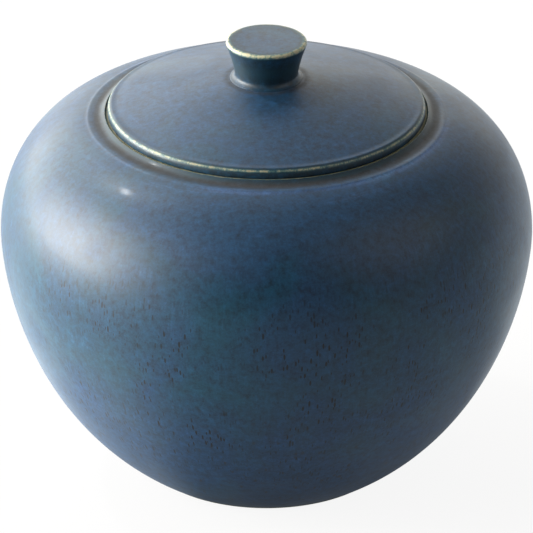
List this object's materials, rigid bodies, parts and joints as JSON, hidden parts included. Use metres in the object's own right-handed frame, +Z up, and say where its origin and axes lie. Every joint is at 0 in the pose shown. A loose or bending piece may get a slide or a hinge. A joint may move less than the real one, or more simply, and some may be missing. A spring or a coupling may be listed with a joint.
{
  "type": "yarn bowl",
  "caption": "Round-bellied glazed stoneware yarn bowl with a low domed lift-off lid, a waisted knob and a turned foot.",
  "frame": {"origin": "middle of the foot ring's underside, on the surface that the bowl stands on", "axes": "+Z up along the turning axis; the bowl looks the same from every side, so +X and +Y are any two level directions"},
  "size_m": [0.21, 0.21, 0.181],
  "materials": {
    "blue_glaze": "satin blue-grey stoneware glaze with dark vertical specks, breaking to cream on sharp edges and to brown at the collar",
    "bare_stoneware": "unglazed, wiped stoneware body under the foot and on the lid's seat"
  },
  "bodies": {
    "jar": {"jar_body": "blue_glaze"},
    "lid": {"lid_plate": "blue_glaze", "lid_knob": "blue_glaze"}
  },
  "joints": [
    {"name": "lid_lift", "type": "slide", "parent": "jar", "child": "lid", "axis": [0, 0, 1], "range_m": [0, 0.15]}
  ]
}
